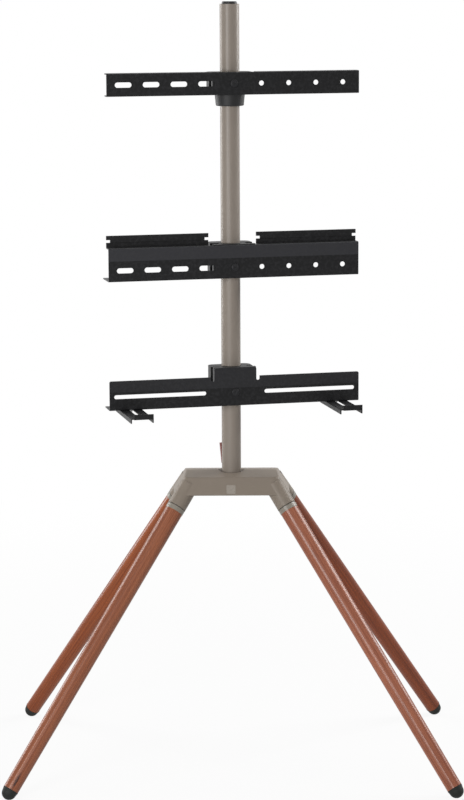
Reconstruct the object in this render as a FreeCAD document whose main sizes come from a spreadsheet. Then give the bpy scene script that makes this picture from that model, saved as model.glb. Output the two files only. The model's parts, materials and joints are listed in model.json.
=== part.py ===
import FreeCAD, Part
import os
import Sketcher
from FreeCAD import Placement, Rotation, Vector

# Floor stand for a screen: a round pole that turns in a cast hub on four splayed wooden legs,
# with three steel brackets clamped to the pole. Millimetres, +Z up, origin on the floor under
# the pole's axis. The brackets run along X and face -Y.

SIZES = {
    # pole and its end plug
    "pole_d": 35.0,
    "pole_wall": 1.6,
    "pole_len": 867.0,
    "end_cap_d": 27.0,
    "end_cap_rise": 4.4,
    "end_cap_edge": 2.6,
    "end_cap_plug": 16.0,
    # clearances
    "fit_gap": 0.05,
    "seat_gap": 0.02,
    "hole_gap": 0.3,
    "side_gap": 1.5,
    # how far joined pieces lap and cuts run past a face
    "lap": 1.0,
    "cut_past": 10.0,
    # hub casting and the turning joint inside it
    "base_turn": -13.6,
    "hub_rise": 21.5,
    "hub_height": 36.8,
    "hub_inset": 1.4,
    "hub_corner": 14.0,
    "hub_top_edge": 3.0,
    "crown_slope": 8.0,
    "crown_flat": 8.0,
    "bush_wall": 2.9,
    "bush_drop": 6.0,
    "bore_flare": 3.2,
    "nut_recess": 3.0,
    "hub_floor": 5.0,
    "nut_recess_d": 46.0,
    "thrust_washer": 2.0,
    "base_plug": 30.0,
    "swivel_d": 10.0,
    "swivel_head_flats": 16.0,
    "swivel_head": 6.5,
    "swivel_washer_d": 24.0,
    "swivel_washer": 1.6,
    "swivel_nut_flats": 16.0,
    "swivel_nut": 6.0,
    "swivel_tail": 2.4,
    # legs: the axis of each leg runs from the hub's seam to the middle of the foot
    "seam_x": 99.6,
    "seam_y": 52.8,
    "seam_z": 481.0,
    "foot_x": 393.5,
    "foot_y": 262.0,
    "foot_z": 12.0,
    "sleeve_d": 35.0,
    "sleeve_root": 47.0,
    "ferrule_d": 34.6,
    "ferrule_len": 9.5,
    "ferrule_cap": 3.0,
    "ferrule_edge": 0.8,
    "leg_top_d": 33.4,
    "leg_foot_d": 28.0,
    "tenon_d": 28.0,
    "foot_cap_d": 28.6,
    "foot_ball_d": 26.0,
    "foot_cap_len": 6.0,
    "foot_tenon_d": 20.0,
    "foot_tenon": 8.0,
    "stud_d": 10.0,
    "stud_in_hub": 20.0,
    "stud_in_leg": 42.0,
    # cable hook on the pole
    "hook_turn": 105.0,
    "hook_rise": 8.0,
    "hook_height": 37.2,
    "hook_width": 14.0,
    "hook_low_reach": 25.9,
    "hook_high_reach": 33.3,
    "hook_thick": 3.4,
    "hook_foot": 9.5,
    "hook_screw_d": 4.0,
    "hook_screw_head_d": 7.0,
    "hook_screw_head": 2.4,
    # what the three brackets share
    "bracket_len": 460.0,
    "sheet": 2.2,
    "bend_r": 2.6,
    "face_reach": 34.0,
    "hole_pitch": 50.0,
    "hole_margin": 20.0,
    "hole_d": 9.0,
    "slot_len": 30.0,
    "slot_w": 9.3,
    # upper bracket, a channel
    "upper_drop": 139.0,
    "upper_face": 40.6,
    "upper_flange": 19.0,
    "upper_front_drop": 1.0,
    "upper_rear_drop": 1.0,
    # middle bracket with its two rails
    "middle_drop": 327.1,
    "middle_below": 19.9,
    "middle_face": 60.0,
    "middle_flange": 54.0,
    "shelf": 20.0,
    "rail": 20.7,
    "rail_gap": 88.0,
    "rail_strip": 7.4,
    "rail_notch": 5.0,
    "rail_notch_depth": 7.0,
    "rail_step": 1.0,
    "middle_clamp_rise": 1.5,
    # lower bracket, an angle with long slots and a raised tab
    "lower_len": 462.0,
    "lower_rise": 147.7,
    "lower_below": 24.7,
    "lower_face": 53.5,
    "lower_flange": 42.0,
    "lower_corner": 3.0,
    "long_slot_inset": 15.0,
    "long_slot_end": 8.5,
    "long_slot_w": 7.2,
    "tab_rise": 16.4,
    "tab_corner": 4.0,
    "relief_d": 6.0,
    "relief_depth": 5.0,
    "lower_rear_drop": 2.0,
    # clamps
    "clamp_w": 78.0,
    "jaw_plate": 9.3,
    "jaw_gap": 17.5,
    "saddle_w": 48.0,
    "saddle_stop": 8.0,
    "rear_jaw": 31.5,
    "rear_corner": 12.0,
    "clamp_bolt_inset": 8.0,
    "clamp_bolt_d": 6.0,
    "clamp_head_d": 10.0,
    "clamp_head": 6.0,
    "clamp_seat_d": 12.0,
    "clamp_seat_y": 10.0,
    "clamp_bolt_row": 38.0,
    "key_flats": 5.0,
    "key_depth": 3.0,
    "bolt_end": 1.6,
    "face_screw_d": 8.0,
    "face_screw_head_d": 14.0,
    "face_screw_head": 2.6,
    "face_screw_dome": 2.0,
    "face_key_depth": 1.6,
    # stop collar under the upper clamp
    "collar_top_d": 54.0,
    "collar_low_d": 50.0,
    "collar_height": 20.5,
    "collar_edge": 2.0,
    "collar_screw_d": 6.0,
    "collar_screw_len": 7.0,
    # sound-bar arms under the lower bracket
    "arm_inset": 40.2,
    "arm_w": 41.0,
    "arm_sheet": 2.0,
    "arm_bend": 1.6,
    "arm_front": 93.0,
    "arm_back": 44.0,
    "arm_side": 8.2,
    "arm_lip": 7.4,
    "arm_lip_inset": 6.0,
    "arm_notch": 4.0,
    "arm_slot_w": 7.0,
    "arm_travel": 66.0,
    "arm_bolt_d": 6.0,
    "arm_bolt_back": 21.0,
    "arm_head_flats": 10.0,
    "arm_head": 4.0,
    "arm_washer_d": 14.0,
    "arm_washer": 1.4,
    "wing_boss_d": 11.0,
    "wing_boss": 4.0,
    "wing_span": 27.0,
    "wing_thick": 2.4,
    "wing_height": 7.0,
}

doc = FreeCAD.newDocument("tv_stand_with_mount")
dim = doc.addObject("Spreadsheet::Sheet", "dim")
for row, (alias, value) in enumerate(SIZES.items(), start=1):
    dim.set("A%d" % row, alias.replace("_", " "))
    dim.set("B%d" % row, str(value))
    dim.setAlias("B%d" % row, alias)
doc.recompute()

nodes = []


def node(piece, name):
    """give a finished piece the name of its node"""
    piece.Label = name
    nodes.append(piece)
    return piece


def size(formula):
    """value of a formula over the sheet, in millimetres"""
    return float(dim.evalExpression(formula))


def move(piece, x, y, z):
    for axis, formula in zip("xyz", (x, y, z)):
        piece.setExpression("Placement.Base." + axis, formula)


def between(low, high):
    return "(%s) - (%s)" % (high, low)


# Rotations that lay a shape made along Z along another axis.
ALONG = {
    "x": Rotation(Vector(0, 1, 0), 90),
    "y": Rotation(Vector(1, 0, 0), -90),
    "z": Rotation(),
}


def set_along(piece, axis, start, at):
    piece.Placement = Placement(Vector(), ALONG[axis])
    corner = {"x": (start, at[0], at[1]), "y": (at[0], start, at[1]), "z": (at[0], at[1], start)}
    move(piece, *corner[axis])


def box(name, x, y, z):
    """block between pairs of formulas"""
    block = doc.addObject("Part::Box", name)
    for side, pair in (("Length", x), ("Width", y), ("Height", z)):
        block.setExpression(side, between(*pair))
    move(block, x[0], y[0], z[0])
    return block


def rod(name, diameter, span, axis="z", at=("0", "0")):
    bar = doc.addObject("Part::Cylinder", name)
    bar.setExpression("Radius", "(%s) / 2" % diameter)
    bar.setExpression("Height", between(*span))
    set_along(bar, axis, span[0], at)
    return bar


def taper(name, diameters, span):
    """round piece along Z whose diameter runs from the first to the second of the pair"""
    cone = doc.addObject("Part::Cone", name)
    cone.setExpression("Radius1", "(%s) / 2" % diameters[0])
    cone.setExpression("Radius2", "(%s) / 2" % diameters[1])
    cone.setExpression("Height", between(*span))
    move(cone, "0", "0", span[0])
    return cone


def ring(name, outer, inner, span, at=("0", "0")):
    """washer, bush or drilled plug along Z"""
    blank = rod(name + "_outer", outer, span, "z", at)
    return cut(name + "_ring", blank, rod(name + "_inner", inner, past(*span), "z", at))


def hexagon(name, flats, span, axis="z", at=("0", "0")):
    prism = doc.addObject("Part::Prism", name)
    prism.Polygon = 6
    prism.setExpression("Circumradius", "(%s) / sqrt(3)" % flats)
    prism.setExpression("Height", between(*span))
    set_along(prism, axis, span[0], at)
    return prism


def joined(name, *pieces):
    union = doc.addObject("Part::MultiFuse", name)
    union.Shapes = list(pieces)
    return union


def cut(name, base, *tools):
    result = doc.addObject("Part::Cut", name)
    result.Base = base
    result.Tool = tools[0] if len(tools) == 1 else joined(name + "_tools", *tools)
    return result


def group(name, *pieces):
    """identical fasteners kept as separate solids in one node"""
    bundle = doc.addObject("Part::Compound", name)
    bundle.Links = list(pieces)
    return bundle


def rounded(name, base, radius, wanted):
    """round the edges of a piece that a test picks"""
    doc.recompute()
    picked = [i for i, edge in enumerate(base.Shape.Edges, start=1) if wanted(edge)]
    fillet = doc.addObject("Part::Fillet", name)
    fillet.Base = base
    fillet.Edges = [(i, size(radius), size(radius)) for i in picked]
    return fillet


def runs_along(axis, **places):
    """test for straight edges along an axis that pass through given places"""
    def test(edge):
        reach = edge.BoundBox
        if any(getattr(reach, side.upper() + "Length") > 1e-4 for side in "xyz" if side != axis):
            return False
        middle = edge.CenterOfMass
        return all(abs(getattr(middle, key) - spot) < 1e-4 for key, spot in places.items())
    return test


def any_of(*tests):
    return lambda edge: any(test(edge) for test in tests)


def outline_pad(name, plane, corners, length):
    """body padded both ways from a closed outline on one of its origin planes"""
    body = doc.addObject("PartDesign::Body", name)
    sketch = body.newObject("Sketcher::SketchObject", name + "_outline")
    origin = [item for item in body.Origin.OriginFeatures if item.Role == plane][0]
    sketch.AttachmentSupport = (origin, [""])
    sketch.MapMode = "FlatFace"
    points = [Vector(size(u), size(v), 0) for u, v in corners]
    for start, end in zip(points, points[1:] + points[:1]):
        sketch.addGeometry(Part.LineSegment(start, end))
    count = len(points)
    for i in range(count):
        sketch.addConstraint(Sketcher.Constraint("Coincident", i, 2, (i + 1) % count, 1))
    for i, (corner, point) in enumerate(zip(corners, points)):
        for kind, formula, value in zip(("DistanceX", "DistanceY"), corner, point):
            number = sketch.addConstraint(Sketcher.Constraint(kind, -1, 1, i, 1, value))
            sketch.setExpression("Constraints[%d]" % number, formula)
    pad = body.newObject("PartDesign::Pad", name + "_pad")
    pad.Profile = sketch
    pad.Midplane = True
    pad.setExpression("Length", length)
    return body


# Formulas that several pieces share.
POLE_BORE = "dim.pole_d - 2 * dim.pole_wall"
SLIDE_BORE = "dim.pole_d + 2 * dim.fit_gap"
FACE = "-dim.face_reach"
FACE_BACK = "-dim.face_reach + dim.sheet"
JAW_BACK = FACE_BACK + " + dim.jaw_plate"
REAR_JAW = JAW_BACK + " + dim.jaw_gap"
REAR_BACK = REAR_JAW + " + dim.rear_jaw"
HALF_LEN = "dim.bracket_len / 2"
HALF_CLAMP = "dim.clamp_w / 2"
CENTRE_CUT = "dim.clamp_w / 2 + dim.side_gap"
HALF_LOWER = "dim.lower_len / 2"
CLAMP_BOLT_X = "(dim.clamp_w / 2 - dim.clamp_bolt_inset)"
ARM_X = "(dim.lower_len / 2 - dim.arm_inset)"
HUB_LOW = "dim.seam_z + dim.hub_rise"
HUB_TOP = HUB_LOW + " + dim.hub_height"
HUB_FLOOR = HUB_LOW + " + dim.nut_recess"
HUB_FLOOR_TOP = HUB_FLOOR + " + dim.hub_floor"
POLE_FOOT = HUB_FLOOR_TOP + " + dim.thrust_washer"
POLE_TOP = POLE_FOOT + " + dim.pole_len"
BUSH_D = SLIDE_BORE + " + 2 * dim.bush_wall"
BUSH_TOP = HUB_TOP + " - dim.bush_drop"
SHAFT_HOLE = "dim.swivel_d + 2 * dim.hole_gap"
HOOK_LOW = HUB_TOP + " + dim.hook_rise"
UPPER_LINE = POLE_TOP + " - dim.upper_drop"
UPPER_LOW = UPPER_LINE + " - dim.upper_face / 2"
UPPER_TOP = UPPER_LINE + " + dim.upper_face / 2"
MIDDLE_LINE = UPPER_LINE + " - dim.middle_drop"
MIDDLE_LOW = MIDDLE_LINE + " - dim.middle_below"
MIDDLE_TOP = MIDDLE_LOW + " + dim.middle_face"
LOWER_LINE = HUB_TOP + " + dim.lower_rise"
LOWER_LOW = LOWER_LINE + " - dim.lower_below"
LOWER_TOP = LOWER_LOW + " + dim.lower_face"
TAB_TOP = LOWER_TOP + " + dim.tab_rise"
PAST = "dim.cut_past"


def minus(formula):
    return "-(%s)" % formula


def span(middle, length):
    """pair of formulas for a length centred on a place"""
    return ("%s - (%s) / 2" % (middle, length), "%s + (%s) / 2" % (middle, length))


def past(low, high):
    """pair of formulas that runs past both ends, for a cut"""
    return ("%s - %s" % (low, PAST), "%s + %s" % (high, PAST))


# Legs, in a frame whose Z axis runs down the leg from the hub's seam.
LEG_RUN_X = "(dim.foot_x - dim.seam_x)"
LEG_RUN_Y = "(dim.foot_y - dim.seam_y)"
LEG_DROP = "(dim.seam_z - dim.foot_z)"
LEG_LEN = "sqrt(%s^2 + %s^2 + %s^2)" % (LEG_RUN_X, LEG_RUN_Y, LEG_DROP)
LEG_END = LEG_LEN + " - dim.foot_cap_len"
CORNERS = {
    "front_left": (-1, -1),
    "front_right": (1, -1),
    "rear_left": (-1, 1),
    "rear_right": (1, 1),
}
BASE = Placement(Vector(), Rotation(Vector(0, 0, 1), size("dim.base_turn")))


def leg_frame(sides):
    """where a leg's own frame lies in the hub's frame"""
    seam = Vector(sides[0] * size("dim.seam_x"), sides[1] * size("dim.seam_y"), size("dim.seam_z"))
    foot = Vector(sides[0] * size("dim.foot_x"), sides[1] * size("dim.foot_y"), size("dim.foot_z"))
    return Placement(seam, Rotation(Vector(0, 0, 1), foot - seam))


def aimed_rod(name, diameter, start, end, frame):
    """rod along the axis of a leg's frame"""
    bar = doc.addObject("Part::Cylinder", name)
    bar.setExpression("Radius", "(%s) / 2" % diameter)
    bar.setExpression("Height", between(start, end))
    bar.Placement = frame.multiply(Placement(Vector(0, 0, size(start)), Rotation()))
    return bar


def hub_reach(run, seam, level):
    """how far the hub's wall stands out at a level, just inside the sleeves"""
    slope = "(%s / %s)" % (run, LEG_DROP)
    round_part = "dim.sleeve_d / 2 * sqrt(1 + %s^2)" % slope
    return "dim.%s + %s - %s * (%s - dim.seam_z) - dim.hub_inset" % (seam, round_part, slope, level)


def make_hub():
    body = doc.addObject("Part::Wedge", "hub_block")
    for level, end in ((HUB_LOW, ""), (HUB_TOP, "2")):
        reach_x = hub_reach(LEG_RUN_X, "seam_x", level)
        reach_y = hub_reach(LEG_RUN_Y, "seam_y", level)
        for side, reach in (("X", reach_x), ("Z", reach_y)):
            body.setExpression(side + end + "min", minus(reach))
            body.setExpression(side + end + "max", reach)
    body.setExpression("Ymin", HUB_LOW)
    body.setExpression("Ymax", HUB_TOP)
    body.Placement = Placement(Vector(), Rotation(Vector(1, 0, 0), 90))
    high, height = size(HUB_TOP), size("dim.hub_height")
    crown = size("dim.crown_flat")

    def upright(edge):
        return edge.BoundBox.ZLength > height / 2

    def top_rim(edge):
        reach = edge.BoundBox
        on_crown = reach.YLength < 1e-4 and abs(reach.YMax) < crown
        return reach.ZMin > high - height / 2 and not on_crown

    body = rounded("hub_corners", body, "dim.hub_corner", upright)
    slopes = [crown_tool("hub_slope_front", -1), crown_tool("hub_slope_rear", 1)]
    body = cut("hub_crown", body, *slopes)
    body = rounded("hub_rim", body, "dim.hub_top_edge", top_rim)
    solids = [body]
    holes = []
    for name, sides in CORNERS.items():
        frame = leg_frame(sides)
        solids.append(aimed_rod("sleeve_" + name, "dim.sleeve_d", "-dim.sleeve_root", "0", frame))
        stud = "dim.stud_d + 2 * dim.seat_gap"
        holes.append(aimed_rod("stud_hole_" + name, stud, "-dim.stud_in_hub", PAST, frame))
    bore_d = BUSH_D + " + 2 * dim.seat_gap"
    mouth_d = bore_d + " + 2 * dim.bore_flare"
    bore = rod("hub_bore", bore_d, (HUB_FLOOR_TOP, HUB_TOP + " + " + PAST))
    flare = taper("hub_flare", (bore_d, mouth_d), (BUSH_TOP, HUB_TOP))
    shaft = rod("hub_shaft_hole", SHAFT_HOLE, past(HUB_LOW, HUB_FLOOR_TOP))
    recess = rod("hub_nut_recess", "dim.nut_recess_d", (HUB_LOW + " - " + PAST, HUB_FLOOR))
    hub = cut("hub_casting", joined("hub_solid", *solids), bore, flare, shaft, recess, *holes)
    hub.Placement = BASE
    node(hub, "hub")


def crown_tool(name, side):
    """block above one slope of the hub's crowned top"""
    half, deep = size("dim.foot_x"), size("dim.foot_y")
    block = doc.addObject("Part::Box", name)
    block.setExpression("Length", "2 * dim.foot_x")
    block.setExpression("Width", "dim.foot_y")
    block.setExpression("Height", "dim.hub_height")
    lean = Rotation(Vector(1, 0, 0), -side * size("dim.crown_slope"))
    corner = lean.multVec(Vector(-half, 0 if side > 0 else -deep, 0))
    ridge = Vector(0, side * size("dim.crown_flat / 2"), size(HUB_TOP))
    block.Placement = Placement(ridge + corner, lean)
    return block


def make_turning_joint():
    node(ring("bush", BUSH_D, SLIDE_BORE, (POLE_FOOT, BUSH_TOP)), "swivel_bush")
    node(ring("thrust", BUSH_D, SHAFT_HOLE, (HUB_FLOOR_TOP, POLE_FOOT)), "thrust_washer")
    plug_span = (POLE_FOOT, POLE_FOOT + " + dim.base_plug")
    tight_hole = "dim.swivel_d + 2 * dim.seat_gap"
    plug_d = POLE_BORE + " - 2 * dim.seat_gap"
    node(ring("plug", plug_d, tight_hole, plug_span), "pole_base_plug")
    washer_low = HUB_FLOOR + " - dim.swivel_washer"
    nut_low = washer_low + " - dim.swivel_nut"
    head_span = (plug_span[1], plug_span[1] + " + dim.swivel_head")
    bolt = joined("swivel_bolt_body",
                  hexagon("swivel_bolt_head", "dim.swivel_head_flats", head_span),
                  rod("swivel_bolt_shank", "dim.swivel_d", (nut_low + " - dim.swivel_tail", plug_span[1])))
    node(bolt, "swivel_bolt")
    under = ring("under", "dim.swivel_washer_d", tight_hole, (washer_low, HUB_FLOOR))
    node(under, "swivel_washer")
    nut_span = (nut_low, washer_low)
    nut = cut("swivel_nut_body", hexagon("swivel_nut_blank", "dim.swivel_nut_flats", nut_span),
              rod("swivel_nut_hole", tight_hole, past(*nut_span)))
    node(nut, "swivel_nut")


def make_legs():
    studs = []
    stud_hole = "dim.stud_d + 2 * dim.seat_gap"
    tenon_top = "dim.ferrule_cap + dim.seat_gap"
    socket_end = LEG_END + " + dim.foot_tenon"
    floor_half = "dim.foot_x + dim.foot_y"
    for name, sides in CORNERS.items():
        frame = leg_frame(sides)
        in_world = BASE.multiply(frame)
        stud = ("-dim.stud_in_hub", "dim.stud_in_leg")
        studs.append(aimed_rod("stud_" + name, "dim.stud_d", stud[0], stud[1], in_world))

        sleeve = rod("ferrule_outer_" + name, "dim.ferrule_d", ("0", "dim.ferrule_len"))
        rim = size("dim.ferrule_d") / 2
        sleeve = chamfered_top("ferrule_edge_" + name, sleeve, rim)
        socket = rod("ferrule_socket_" + name, "dim.tenon_d + 2 * dim.seat_gap",
                     ("dim.ferrule_cap", "dim.ferrule_len + " + PAST))
        hole = rod("ferrule_hole_" + name, stud_hole, past("0", "dim.ferrule_len"))
        ferrule = cut("ferrule_" + name, sleeve, socket, hole)
        ferrule.Placement = BASE.multiply(frame)
        node(ferrule, "leg_ferrule_" + name)

        shaft = taper("leg_shaft_" + name, ("dim.leg_top_d", "dim.leg_foot_d"),
                      ("dim.ferrule_len", LEG_END))
        top = rod("leg_tenon_" + name, "dim.tenon_d", (tenon_top, "dim.ferrule_len + dim.lap"))
        tip = rod("leg_tip_" + name, "dim.foot_tenon_d",
                  (LEG_END + " - dim.lap", socket_end + " - dim.hole_gap"))
        bore = rod("leg_bore_" + name, stud_hole, ("-" + PAST, "dim.stud_in_leg + dim.hole_gap"))
        leg = cut("leg_" + name + "_turned", joined("leg_solid_" + name, shaft, top, tip), bore)
        leg.Placement = BASE.multiply(frame)
        node(leg, "leg_" + name)

        skirt = taper("foot_skirt_" + name, ("dim.foot_cap_d", "dim.foot_ball_d"), (LEG_END, LEG_LEN))
        ball = doc.addObject("Part::Sphere", "foot_ball_" + name)
        ball.setExpression("Radius", "dim.foot_ball_d / 2")
        move(ball, "0", "0", LEG_LEN)
        tenon_hole = "dim.foot_tenon_d + 2 * dim.seat_gap"
        hollow = rod("foot_socket_" + name, tenon_hole, (LEG_END + " - dim.lap", socket_end))
        above = rod("foot_above_" + name, "dim.foot_cap_d", (LEG_END + " - dim.foot_ball_d", LEG_END))
        cap = cut("foot_cup_" + name, joined("foot_solid_" + name, skirt, ball), hollow, above)
        cap.Placement = frame
        side = (minus(floor_half), floor_half)
        floor = box("floor_" + name, side, side, (minus("dim.foot_ball_d"), "0"))
        foot = cut("foot_" + name, cap, floor)
        foot.Placement = BASE
        node(foot, "foot_cap_" + name)
    node(group("stud_set", *studs), "leg_studs")


def chamfered_top(name, base, rim):
    """bevel the round edge at the start of a rod"""
    doc.recompute()
    start = base.Shape.BoundBox.ZMin
    picked = [i for i, edge in enumerate(base.Shape.Edges, start=1)
              if edge.BoundBox.ZMax < start + 1e-4 and edge.BoundBox.XLength > rim]
    bevel = doc.addObject("Part::Chamfer", name)
    bevel.Base = base
    bevel.Edges = [(i, size("dim.ferrule_edge"), size("dim.ferrule_edge")) for i in picked]
    return bevel


def make_pole():
    tube_span = (POLE_FOOT, POLE_TOP)
    spot = HOOK_LOW + " + dim.hook_foot / 2"
    hook_hole = doc.addObject("Part::Cylinder", "pole_hook_hole")
    hook_hole.setExpression("Radius", "dim.hook_screw_d / 2 + dim.seat_gap")
    hook_hole.setExpression("Height", "dim.pole_d")
    turn = Rotation(Vector(0, 0, 1), size("dim.hook_turn"))
    hook_hole.Placement = Placement(Vector(0, 0, size(spot)), turn.multiply(ALONG["x"]))
    pole = cut("pole_tube", rod("pole_outer", "dim.pole_d", tube_span),
               rod("pole_inner", POLE_BORE, past(*tube_span)), hook_hole)
    node(pole, "pole")

    low = POLE_TOP + " - dim.end_cap_plug"
    high = POLE_TOP + " + dim.end_cap_rise"
    knob = rod("cap_knob", "dim.end_cap_d", (POLE_TOP + " - dim.lap", high))
    stem = rod("cap_stem", POLE_BORE + " - 2 * dim.seat_gap", (low, POLE_TOP))
    cap_top = size(high)
    cap = rounded("cap_dome", joined("cap_solid", knob, stem), "dim.end_cap_edge",
                  lambda edge: edge.BoundBox.ZMin > cap_top - 1e-4)
    node(cap, "pole_end_cap")


def make_cable_hook():
    wall = "dim.pole_d / 2"
    top = HOOK_LOW + " + dim.hook_height"
    foot_top = HOOK_LOW + " + dim.hook_foot"
    lean = "(dim.hook_high_reach - dim.hook_low_reach) / dim.hook_height"
    throat = "dim.hook_low_reach + %s * dim.hook_foot - dim.hook_thick" % lean
    corners = [
        ("0", HOOK_LOW),
        ("dim.hook_low_reach", HOOK_LOW),
        ("dim.hook_high_reach", top),
        ("dim.hook_high_reach - dim.hook_thick", top),
        (throat, foot_top),
        ("0", foot_top),
    ]
    plate = outline_pad("hook_plate", "XZ_Plane", corners, "dim.hook_width")
    spot = ("0", HOOK_LOW + " + dim.hook_foot / 2")
    seat = "dim.hook_low_reach - dim.hook_screw_head"
    round_wall = rod("hook_wall", "dim.pole_d + 2 * dim.seat_gap", past(HOOK_LOW, top))
    hole = rod("hook_hole", "dim.hook_screw_d + 2 * dim.seat_gap", ("0", seat), "x", spot)
    sink = rod("hook_sink", "dim.hook_screw_head_d + 2 * dim.hole_gap",
               (seat, "dim.hook_high_reach"), "x", spot)
    hook = cut("hook_cut", plate, round_wall, hole, sink)
    turn = Placement(Vector(), Rotation(Vector(0, 0, 1), size("dim.hook_turn")))
    hook.Placement = turn
    node(hook, "cable_hook")
    shank = rod("hook_screw_shank", "dim.hook_screw_d", (wall + " - dim.pole_wall", seat), "x", spot)
    head = rod("hook_screw_head", "dim.hook_screw_head_d", (seat, "dim.hook_low_reach"), "x", spot)
    screw = joined("hook_screw_body", shank, head)
    screw.Placement = turn
    node(screw, "cable_hook_screw")


def make_stop_collar():
    top = UPPER_LOW
    low = "%s - dim.collar_height" % top
    blank = taper("collar_blank", ("dim.collar_low_d", "dim.collar_top_d"), (low, top))
    base = size(low)
    blank = rounded("collar_round", blank, "dim.collar_edge",
                    lambda edge: edge.BoundBox.ZMax < base + 1e-4)
    middle = "%s - dim.collar_height / 2" % top
    start = "dim.pole_d / 2 + dim.fit_gap"
    tip = ("%s + dim.fit_gap" % start, "%s + dim.fit_gap + dim.collar_screw_len" % start)
    bore = rod("collar_bore", SLIDE_BORE, past(low, top))
    hole = rod("collar_hole", "dim.collar_screw_d + 2 * dim.seat_gap",
               ("0", "dim.collar_top_d"), "y", ("0", middle))
    node(cut("collar_ring", blank, bore, hole), "stop_collar")
    grub = rod("collar_grub", "dim.collar_screw_d", tip, "y", ("0", middle))
    key = hexagon("collar_key", "dim.collar_screw_d / 2",
                  (tip[1] + " - dim.key_depth", tip[1] + " + dim.lap"), "y", ("0", middle))
    node(cut("collar_screw_body", grub, key), "stop_collar_screw")


def slot_tool(name, ends, width, level):
    """rounded slot through the face of a bracket, between the outer ends given along X"""
    through = past(FACE, FACE_BACK)
    half = "(%s) / 2" % width
    first = "%s + %s" % (ends[0], half)
    last = "%s - %s" % (ends[1], half)
    core = box(name + "_core", (first, last), through, span(level, width))
    left = rod(name + "_left", width, through, "y", (first, level))
    right = rod(name + "_right", width, through, "y", (last, level))
    return [core, left, right]


def screen_holes(name, level):
    """row of slots on the left and of round holes on the right, and the middle screw's hole"""
    tools = []
    count = int(size("(dim.bracket_len / 2 - dim.hole_margin) / dim.hole_pitch"))
    for step in range(1, count + 1):
        place = "%d * dim.hole_pitch" % step
        ends = span("-" + place, "dim.slot_len")
        tools += slot_tool("%s_slot_%d" % (name, step), ends, "dim.slot_w", level)
        hole = "%s_hole_%d" % (name, step)
        tools.append(rod(hole, "dim.hole_d", past(FACE, FACE_BACK), "y", (place, level)))
    tools.append(face_screw_hole(name, level))
    return tools


def face_screw_hole(name, level):
    loose = "dim.face_screw_d + 2 * dim.hole_gap"
    return rod(name + "_screw_hole", loose, past(FACE, FACE_BACK), "y", ("0", level))


def flange_gap(name, levels):
    """gap in a flange that lets the clamp and the pole through"""
    half = CENTRE_CUT
    return box(name, (minus(half), half), (FACE_BACK, "dim.pole_d + dim.middle_flange"), levels)


def make_upper_bracket():
    back = "%s + dim.upper_flange" % FACE
    low, top = UPPER_LOW, UPPER_TOP
    corners = [
        (FACE, low),
        (back, low),
        (back, low + " + dim.sheet"),
        (FACE_BACK, low + " + dim.sheet"),
        (FACE_BACK, top + " - dim.sheet"),
        (back, top + " - dim.sheet"),
        (back, top),
        (FACE, top),
    ]
    channel = outline_pad("upper_channel", "YZ_Plane", corners, "dim.bracket_len")
    bends = any_of(*[runs_along("x", y=size(FACE), z=size(level)) for level in (low, top)])
    channel = rounded("upper_bends", channel, "dim.bend_r", bends)
    gap = flange_gap("upper_gap", past(low, top))
    node(cut("upper_sheet", channel, gap, *screen_holes("upper", UPPER_LINE)), "upper_bracket")


def make_middle_bracket():
    low, top = MIDDLE_LOW, MIDDLE_TOP
    back = "%s + dim.middle_flange" % FACE
    rail_front = "%s + dim.shelf" % FACE
    rail_back = rail_front + " + dim.sheet"
    rail_top = top + " + dim.rail"
    crease = rail_top + " - dim.rail_strip - dim.rail_notch"
    corners = [
        (FACE, low),
        (back, low),
        (back, low + " + dim.sheet"),
        (FACE_BACK, low + " + dim.sheet"),
        (FACE_BACK, top + " - dim.sheet"),
        (rail_back, top + " - dim.sheet"),
        (rail_back, rail_top),
        (rail_front + " - dim.rail_step", rail_top),
        (rail_front + " - dim.rail_step", crease),
        (rail_front, crease),
        (rail_front, top),
        (FACE, top),
    ]
    profile = outline_pad("middle_profile", "YZ_Plane", corners, "dim.bracket_len")
    bends = any_of(
        runs_along("x", y=size(FACE), z=size(low)),
        runs_along("x", y=size(FACE), z=size(top)),
        runs_along("x", y=size(rail_back), z=size(top + " - dim.sheet")),
    )
    profile = rounded("middle_bends", profile, "dim.bend_r", bends)
    rail_depth = (FACE_BACK, rail_back + " + " + PAST)
    half_gap = "dim.rail_gap / 2"
    opening = box("rail_opening", (minus(half_gap), half_gap), rail_depth,
                  (top + " - dim.sheet", rail_top + " + " + PAST))
    notch_levels = (crease, crease + " + dim.rail_notch")
    ends = {
        "outer_left": (minus(HALF_LEN), minus(HALF_LEN) + " + dim.rail_notch_depth"),
        "inner_left": (minus(half_gap) + " - dim.rail_notch_depth", minus(half_gap)),
        "inner_right": (half_gap, half_gap + " + dim.rail_notch_depth"),
        "outer_right": (HALF_LEN + " - dim.rail_notch_depth", HALF_LEN),
    }
    notches = [box("notch_" + end, place, rail_depth, notch_levels) for end, place in ends.items()]
    gap = flange_gap("middle_gap", (low + " - " + PAST, low + " + dim.sheet"))
    tools = [gap, opening] + notches + screen_holes("middle", MIDDLE_LINE)
    node(cut("middle_sheet", profile, *tools), "middle_bracket")


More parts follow.
